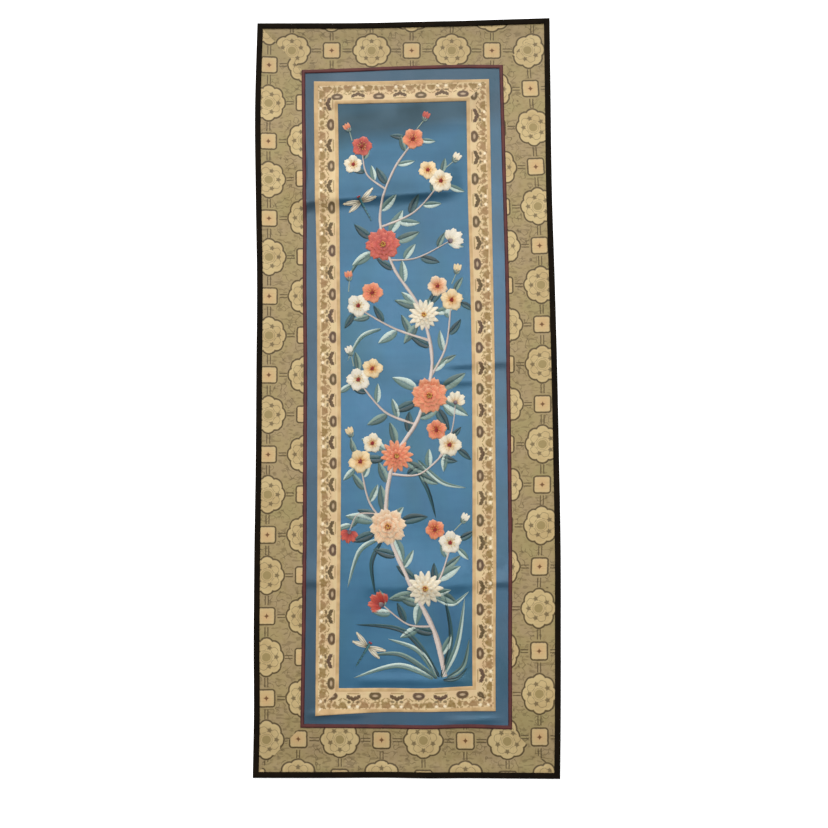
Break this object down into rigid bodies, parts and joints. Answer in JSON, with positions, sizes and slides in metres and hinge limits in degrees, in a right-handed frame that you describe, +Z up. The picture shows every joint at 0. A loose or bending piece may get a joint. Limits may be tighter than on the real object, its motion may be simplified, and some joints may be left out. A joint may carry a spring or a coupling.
{
  "type": "embroidered panel",
  "caption": "Flat oblong textile panel: satin ground with a sewn-on ribbon frame, a mitred brocade border and a dark bound edge.",
  "frame": {"origin": "on the surface that the panel lies on, under the middle of its outline", "axes": "+X to the right and +Y to the top of the design as seen from above, +Z up out of the worked face"},
  "size_m": [0.3056, 0.7611, 0.0054],
  "materials": {
    "satin": "silky satin with a soft sheen",
    "ribbon": "woven figured ribbon",
    "fillet": "matt folded cloth",
    "brocade": "woven brocade with a low sheen",
    "binding": "dark plain-weave binding"
  },
  "bodies": {
    "root": {"satin_ground": "satin", "ribbon_top": "ribbon", "ribbon_right": "ribbon", "ribbon_bottom": "ribbon", "ribbon_left": "ribbon", "fillet_top": "fillet", "fillet_right": "fillet", "fillet_bottom": "fillet", "fillet_left": "fillet", "brocade_top": "brocade", "brocade_right": "brocade", "brocade_bottom": "brocade", "brocade_left": "brocade", "binding_top": "binding", "binding_right": "binding", "binding_bottom": "binding", "binding_left": "binding"}
  },
  "joints": []
}
